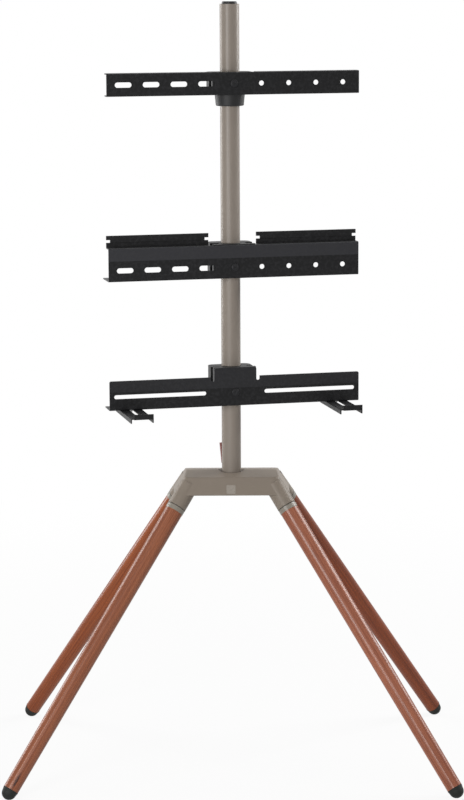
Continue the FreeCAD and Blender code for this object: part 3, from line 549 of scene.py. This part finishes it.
def softened(node, width, material):
    """soft-edged copy of a node that takes its place"""
    shape = bmesh.new()
    shape.from_mesh(frame["nodes"][node].data)
    bmesh.ops.remove_doubles(shape, verts=shape.verts, dist=MERGE_REACH)
    bmesh.ops.dissolve_limit(shape, angle_limit=FLAT_ANGLE, verts=shape.verts, edges=shape.edges)
    mesh = round_edges(blank_of(node + "_blank", shape), width, FOLD_ANGLE)
    add_piece("soft_" + node, mesh, body_of[node], material, node)


def bridge(shape, one, two):
    """band of faces between two rings of points"""
    count = len(one)
    for i in range(count):
        j = (i + 1) % count
        shape.faces.new((one[i], one[j], two[j], two[i]))


# Bolts; the depth of a thread and its plain ends are shares of its pitch

CORE_SIDES = 48
COIL_STEPS = 40
RIDGE_SIDES = 4
THREAD_DEPTH = 0.5
PLAIN_END = 0.6
KEY_SIDES = 6
LEAST_KEY = 0.1 * MM


def lifted(w, piece, height):
    return w.place("GeometryNodeTransform", Geometry=piece,
                   Translation=w.place("ShaderNodeCombineXYZ", Z=height))


def threaded_shank(w, start):
    """core of a bolt and the thread coiled round it, down from the seat"""
    pitch, length = start["Pitch"], start["Shank Length"]
    depth = w.times(pitch, THREAD_DEPTH)
    inner = w.math("SUBTRACT", w.times(start["Shank"], 0.5), depth)
    core = w.place("GeometryNodeMeshCylinder", Vertices=CORE_SIDES, Radius=inner, Depth=length)
    run = w.math("SUBTRACT", length, w.times(pitch, 2 * PLAIN_END))
    coil = w.place("GeometryNodeCurveSpiral", Resolution=COIL_STEPS, Rotations=w.math("DIVIDE", run, pitch),
                   Start_Radius=inner, End_Radius=inner, Height=run)
    ridge = w.place("GeometryNodeCurvePrimitiveCircle", Resolution=RIDGE_SIDES, Radius=depth)
    thread = w.place("GeometryNodeCurveToMesh", Curve=coil, Profile_Curve=ridge, Fill_Caps=True)
    tail = w.plus(w.times(length, -1.0), pitch, PLAIN_END)
    return lifted(w, core, w.times(length, -0.5)), lifted(w, thread, tail)


def bolt_head(w, start):
    """head above the seat, its rim knurled and a hexagon key hole cut where these have a size"""
    tall = start["Head Height"]
    head = w.place("GeometryNodeMeshCylinder", Vertices=start["Head Sides"],
                   Radius=w.times(start["Head"], 0.5), Depth=tall)
    outward = w.vector("NORMALIZE", w.vector("MULTIPLY", w.place("GeometryNodeInputPosition"), FLAT))
    every_other = w.math("MODULO", w.place("GeometryNodeInputIndex"), 2.0)
    groove = w.times(w.times(every_other, start["Knurl"]), -1.0)
    inward = w.place("ShaderNodeVectorMath", 0, {"operation": "SCALE"}, Vector=outward, Scale=groove)
    head = w.place("GeometryNodeSetPosition", Geometry=head, Offset=inward)
    head = lifted(w, head, w.times(tall, 0.5))
    key_round = w.math("DIVIDE", start["Key"], math.sqrt(3.0))
    key = w.place("GeometryNodeMeshCylinder", Vertices=KEY_SIDES, Radius=w.most(key_round, LEAST_KEY),
                  Depth=w.times(start["Key Depth"], 2.0))
    drilled = w.place("GeometryNodeMeshBoolean", "Mesh", {"operation": "DIFFERENCE"}, Mesh_1=head,
                      Mesh_2=lifted(w, key, tall))
    pick = w.add("GeometryNodeSwitch", input_type="GEOMETRY")
    w.feed(pick.inputs["Switch"], w.math("GREATER_THAN", start["Key"], 0.0))
    w.feed(pick.inputs["False"], head)
    w.feed(pick.inputs["True"], drilled)
    return pick.outputs["Output"]


def make_threaded_bolts():
    """geometry tree that sets threaded bolts on seat points, heads along +Z before the turn"""
    tree = bpy.data.node_groups.new("threaded_bolts", "GeometryNodeTree")
    inlets = {"Seats": GEOMETRY, "Shank": NUMBER, "Shank Length": NUMBER, "Pitch": NUMBER, "Head": NUMBER,
              "Head Height": NUMBER, "Head Sides": COUNT, "Knurl": NUMBER, "Key": NUMBER,
              "Key Depth": NUMBER, "Turn": VECTOR, "Finish": FINISH}
    names = {}
    for label, kind in inlets.items():
        names[label] = tree.interface.new_socket(label, in_out="INPUT", socket_type=kind).identifier
    tree.interface.new_socket("Bolts", in_out="OUTPUT", socket_type=GEOMETRY)
    start = tree.nodes.new("NodeGroupInput").outputs
    end = tree.nodes.new("NodeGroupOutput").inputs
    w = Wiring(tree)
    whole = w.add("GeometryNodeJoinGeometry")
    for piece in (*threaded_shank(w, start), bolt_head(w, start)):
        w.feed(whole.inputs[0], piece)
    bolt = w.place("GeometryNodeTransform", Geometry=whole.outputs[0], Rotation=start["Turn"])
    row = w.place("GeometryNodeInstanceOnPoints", Points=start["Seats"], Instance=bolt)
    row = w.place("GeometryNodeRealizeInstances", Geometry=row)
    w.feed(end["Bolts"], w.place("GeometryNodeSetMaterial", Geometry=row, Material=start["Finish"]))
    return tree, names


threaded_bolts, bolt_inputs = make_threaded_bolts()
THREAD_M6 = {"Shank": 6.0 * MM, "Pitch": 1.0 * MM}
THREAD_M10 = {"Shank": 10.0 * MM, "Pitch": 1.5 * MM}
SOCKET_M6 = {"Head": 10.0 * MM, "Head Height": 6.0 * MM, "Head Sides": 72, "Knurl": 0.14 * MM,
             "Key": 5.0 * MM, "Key Depth": 3.0 * MM}
HEXAGON = {"Head Sides": 6, "Knurl": 0.0, "Key": 0.0, "Key Depth": 1.0 * MM}
FLATS_M6 = 10.0 * MM
HEXAGON_M6 = {"Head": FLATS_M6 * 2 / math.sqrt(3.0), "Head Height": 4.0 * MM, **HEXAGON}
SWIVEL_HEAD_HEIGHT = 6.5 * MM
HEADS_UP = (0.0, 0.0, 0.0)
HEADS_BACK = (-math.pi / 2, 0.0, 0.0)


def set_bolts(node, seats, length, turn, material, sizes):
    """bolts on seat points in place of a node"""
    points = bpy.data.meshes.new(node + "_seats")
    points.from_pydata(seats, [], [])
    blank = link(bpy.data.objects.new(node + "_seats", points))
    bolts = blank.modifiers.new("bolts", "NODES")
    bolts.node_group = threaded_bolts
    values = {**sizes, "Shank Length": length, "Turn": turn, "Finish": material}
    for label, value in values.items():
        bolts[bolt_inputs[label]] = value
    add_piece("threaded_" + node, finished_mesh(blank), body_of[node], material, node)


def set_clamp_bolts(level, material):
    """socket-head bolts that draw the two jaws of a clamp together"""
    node = level + "_clamp_bolts"
    low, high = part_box(node)
    inset, seat = SOCKET_M6["Head"] / 2, high.y - SOCKET_M6["Head Height"]
    rows = {round(low.z + inset, 6), round(high.z - inset, 6)}
    seats = [(x, seat, z) for x in (low.x + inset, high.x - inset) for z in sorted(rows)]
    set_bolts(node, seats, seat - low.y, HEADS_BACK, material, {**THREAD_M6, **SOCKET_M6})


def set_arm_bolts(material):
    """hexagon bolts that hold the arms"""
    low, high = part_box("arm_bolts")
    inset, seat = HEXAGON_M6["Head"] / 2, high.z - HEXAGON_M6["Head Height"]
    middle = (low.y + high.y) / 2
    seats = [(x, middle, seat) for x in (low.x + inset, high.x - inset)]
    set_bolts("arm_bolts", seats, seat - low.z, HEADS_UP, material, {**THREAD_M6, **HEXAGON_M6})


def set_swivel_bolt(material):
    """long bolt of the turning joint, its head inside the pole and its tail below the hub"""
    low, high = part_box("swivel_bolt")
    seat = high.z - SWIVEL_HEAD_HEIGHT
    head = {"Head": high.x - low.x, "Head Height": SWIVEL_HEAD_HEIGHT, **HEXAGON}
    set_bolts("swivel_bolt", [(0.0, 0.0, seat)], seat - low.z, HEADS_UP, material, {**THREAD_M10, **head})


# Wing nuts; outlines in millimetres

BOSS = ((3.05, 0.0), (5.2, 0.0), (5.5, -0.4), (4.7, -3.7), (4.3, -4.0), (3.05, -4.0))
BOSS_RADIUS = max(radius for radius, _ in BOSS)
WING = ((3.6, -1.2), (6.4, -1.5), (9.4, -2.0), (11.9, -2.9), (13.3, -4.3), (13.3, -5.9),
        (12.2, -6.9), (10.6, -6.9), (8.9, -5.9), (7.0, -4.8), (5.2, -4.2), (3.6, -3.9))
WING_THICK, WING_TAPER = 1.2, 0.03
WING_EDGE = 0.35 * MM
BOSS_STEPS = 64


def add_boss(shape, middle):
    """threaded boss of a wing nut, turned about Z"""
    rings = []
    for radius, height in BOSS:
        ring = []
        for step in range(BOSS_STEPS):
            turn = 2 * math.pi * step / BOSS_STEPS
            spot = Vector((radius * math.cos(turn), radius * math.sin(turn), height))
            ring.append(shape.verts.new(middle + spot * MM))
        rings.append(ring)
    for one, two in zip(rings, rings[1:] + rings[:1]):
        bridge(shape, one, two)


def add_wing(shape, middle, side):
    """one wing of a nut, thinner towards its tip"""
    plates = []
    for face in (-1, 1):
        plate = []
        for reach, drop in WING:
            thick = WING_THICK - WING_TAPER * reach
            plate.append(shape.verts.new(middle + Vector((face * thick, side * reach, drop)) * MM))
        shape.faces.new(plate)
        plates.append(plate)
    bridge(shape, *plates)


def add_wing_nuts(material):
    """two pressed wing nuts under the arms, wings down and along Y"""
    low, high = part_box("arm_wing_nuts")
    inset = BOSS_RADIUS * MM
    shape = bmesh.new()
    for x in (low.x + inset, high.x - inset):
        middle = Vector((x, (low.y + high.y) / 2, high.z))
        add_boss(shape, middle)
        for side in (-1, 1):
            add_wing(shape, middle, side)
    bmesh.ops.recalc_face_normals(shape, faces=shape.faces)
    mesh = round_edges(blank_of("wing_nuts_blank", shape), WING_EDGE, PRESSED_ANGLE)
    add_piece("pressed_wing_nuts", mesh, "lower_mount", material, "arm_wing_nuts")


# Bare label on the front of the hub

LABEL_HALF = 8.2 * MM
LABEL_RIM = 0.9 * MM
LABEL_CORNER, LEAST_CORNER = 1.6 * MM, 0.3 * MM
LABEL_LIFT, LABEL_SINK = 0.35 * MM, 0.1 * MM
LABEL_LEVEL, LABEL_SHIFT = 42.5 * MM, -1.0 * MM
LABEL_EDGE = 0.12 * MM
AHEAD_OF_HUB = -0.5
QUARTERS = ((1, 1), (-1, 1), (-1, -1), (1, -1))
QUARTER_STEPS = 6


def rounded_square(half, corner):
    """points round a square with rounded corners"""
    points = []
    for quarter, (right, up) in enumerate(QUARTERS):
        for step in range(QUARTER_STEPS + 1):
            angle = math.pi / 2 * (quarter + step / QUARTER_STEPS)
            points.append((right * (half - corner) + corner * math.cos(angle),
                           up * (half - corner) + corner * math.sin(angle)))
    return points


def add_label(material):
    """bare square label with a raised rim on the front of the hub"""
    turn = Matrix.Rotation(BASE_TURN, 4, "Z")
    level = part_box("hub")[0].z + LABEL_LEVEL
    hub = frame["nodes"]["hub"]
    _, place, normal, _ = hub.ray_cast(turn @ Vector((LABEL_SHIFT, AHEAD_OF_HUB, level)),
                                       turn @ Vector((0, 1, 0)))
    across = (turn @ Vector((1, 0, 0))).normalized()
    upward = normal.cross(across).normalized()
    inner = LABEL_HALF - LABEL_RIM
    shape = bmesh.new()
    rings = []
    for half, lift in ((LABEL_HALF, -LABEL_SINK), (LABEL_HALF, LABEL_LIFT), (inner, LABEL_LIFT),
                       (inner, LABEL_LIFT / 2)):
        corner = max(LABEL_CORNER - (LABEL_HALF - half), LEAST_CORNER)
        rings.append([shape.verts.new(place + across * u + upward * v + normal * lift)
                      for u, v in rounded_square(half, corner)])
    for one, two in zip(rings, rings[1:]):
        bridge(shape, one, two)
    shape.faces.new(rings[-1])
    shape.faces.new(list(reversed(rings[0])))
    bmesh.ops.recalc_face_normals(shape, faces=shape.faces)
    mesh = round_edges(blank_of("label_blank", shape), LABEL_EDGE, PRESSED_ANGLE)
    piece = add_piece("bare_label", mesh, "base", material)


# Pieces with their finishes

SHEET_EDGE = 0.30 * MM
CLAMP_EDGE = 0.55 * MM
SCREW_EDGE = 0.15 * MM
HOOK_EDGE = 0.60 * MM
NUT_EDGE = 0.50 * MM
ZINC_NODES = ("leg_studs", "pole_base_plug", "swivel_washer", "cable_hook_screw", "stop_collar_screw",
              "arm_washers")

casting = clamp_black()
moulded = moulded_black()
zinc = zinc_plate()
dark_screw = screw_black()
bearing = bearing_grey()
rubber = foot_rubber()
sheet = {level: bracket_black(level) for level in LEVELS}

dress("pole", pole_taupe())
dress("hub", hub_taupe())
for node in ("pole_end_cap", "stop_collar"):
    dress(node, moulded)
for node in ("swivel_bush", "thrust_washer"):
    dress(node, bearing)
for node in ZINC_NODES:
    dress(node, zinc)
for corner in CORNERS:
    dress("leg_" + corner, leg_wood(corner))
    dress("leg_ferrule_" + corner, ferrule_grey(corner))
    dress("foot_cap_" + corner, rubber)

for level in LEVELS:
    softened(level + "_bracket", SHEET_EDGE, sheet[level])
    softened(level + "_clamp_front", CLAMP_EDGE, casting)
    dress(level + "_clamp_rear", casting)
    softened(level + "_bracket_screw", SCREW_EDGE, dark_screw)
    set_clamp_bolts(level, zinc)
for side in ("left", "right"):
    softened("sound_bar_arm_" + side, SHEET_EDGE, sheet["lower"])
softened("cable_hook", HOOK_EDGE, hook_red_brown())
softened("swivel_nut", NUT_EDGE, zinc)
set_arm_bolts(zinc)
set_swivel_bolt(zinc)
add_wing_nuts(zinc)
add_label(label_taupe())


# Camera; its sensor's width lies along the picture's longer side, the height

CAMERA_TURN = math.radians(-13.48)
CAMERA_PAN = math.radians(0.018)
CAMERA_PITCH = math.radians(9.381)
CAMERA_ROLL = math.radians(0.267)
CAMERA_REACH = 4.7139
CAMERA_HEIGHT = 1.4461
FOCAL_PIXELS = 2629.0
IMAGE_HEIGHT = 800
SENSOR = 36.0
CLIP_END = 100.0


def from_camera(right, ahead, up):
    """spot given to the right of the stand, beyond it and up, as the camera sees it"""
    return (right * math.cos(CAMERA_TURN) - ahead * math.sin(CAMERA_TURN),
            right * math.sin(CAMERA_TURN) + ahead * math.cos(CAMERA_TURN), up)


def add_camera():
    data = bpy.data.cameras.new("camera")
    data.sensor_width = SENSOR
    data.lens = FOCAL_PIXELS / IMAGE_HEIGHT * SENSOR
    data.clip_end = CLIP_END
    camera = link(bpy.data.objects.new("camera", data))
    spot = Vector(from_camera(0.0, -CAMERA_REACH, CAMERA_HEIGHT))
    heading = Matrix.Rotation(CAMERA_TURN - CAMERA_PAN, 4, "Z")
    tilt = Matrix.Rotation(math.pi / 2 - CAMERA_PITCH, 4, "X")
    roll = Matrix.Rotation(-CAMERA_ROLL, 4, "Z")
    camera.matrix_world = Matrix.Translation(spot) @ heading @ tilt @ roll
    bpy.context.scene.camera = camera


# White room, floor and lamps

ROOM_LIGHT = 0.145
FLOOR_HALF = 30.0
FLOOR_TONE = (0.6, 0.6, 0.6, 1.0)
FLOOR_GLOW = 0.91
FADE_START, FADE_END = 0.5, 2.4

# Each lamp: its spot as from_camera takes it, the height it aims at, its width and height, its watts
LAMPS = {"left_box": ((-2.1, 1.3, 1.4), 0.9, (1.0, 2.0), 40.0),
         "right_box": ((2.2, 0.9, 1.9), 1.0, (1.4, 1.6), 70.0),
         "front": ((-1.5, -2.6, 1.36), 0.8, (0.9, 1.5), 54.0),
         "low_front": ((-0.4, -2.6, 0.75), 0.5, (0.35, 0.6), 9.5),
         "top": ((0.0, 0.2, 3.6), 0.6, (2.2, 2.2), 36.0)}


def seen_directly(w):
    """1 for what the camera, a reflection or clear glass looks at"""
    rays = w.add("ShaderNodeLightPath").outputs
    first = w.most(rays["Is Camera Ray"], rays["Is Glossy Ray"])
    return w.most(first, rays["Is Transmission Ray"])


def add_world():
    """room that is white to look at and lights the stand only a little"""
    world = bpy.data.worlds.new("white_room")
    world.use_nodes = True
    bpy.context.scene.world = world
    w = Wiring(world.node_tree)
    background = world.node_tree.nodes["Background"].inputs
    background["Color"].default_value = WHITE
    w.feed(background["Strength"], w.plus(ROOM_LIGHT, seen_directly(w), 1.0 - ROOM_LIGHT))


def add_floor():
    """white floor that keeps the soft shadow near the stand and fades into the white room"""
    mesh = bpy.data.meshes.new("floor")
    side = FLOOR_HALF
    corners = [(-side, -side, 0.0), (side, -side, 0.0), (side, side, 0.0), (-side, side, 0.0)]
    mesh.from_pydata(corners, [], [range(len(corners))])
    floor = link(bpy.data.objects.new("floor", mesh))
    material = bpy.data.materials.new("floor_white")
    material.use_nodes = True
    w = Wiring(material.node_tree)
    matte = w.place("ShaderNodeBsdfDiffuse", Color=FLOOR_TONE)
    glow = w.place("ShaderNodeEmission", Color=WHITE)
    place = w.add("ShaderNodeTexCoord").outputs["Object"]
    lit = w.ramp(w.length(place), FADE_START, FADE_END, out_low=FLOOR_GLOW)
    mixed = w.add("ShaderNodeMixShader")
    w.feed_row(mixed, (w.times(seen_directly(w), lit), matte, glow))
    w.feed(material.node_tree.nodes["Material Output"].inputs["Surface"], mixed.outputs[0])
    mesh.materials.append(material)


def add_lamp(name, spot, aim, size, power):
    data = bpy.data.lights.new(name, "AREA")
    data.shape = "RECTANGLE"
    data.size, data.size_y = size
    data.energy = power
    lamp = link(bpy.data.objects.new(name, data))
    lamp.location = from_camera(*spot)
    heading = Vector((0.0, 0.0, aim)) - lamp.location
    lamp.rotation_euler = heading.to_track_quat("-Z", "Y").to_euler()


add_camera()
add_world()
add_floor()
for name, lamp in LAMPS.items():
    add_lamp(name, *lamp)
bpy.context.scene.view_settings.view_transform = "Standard"
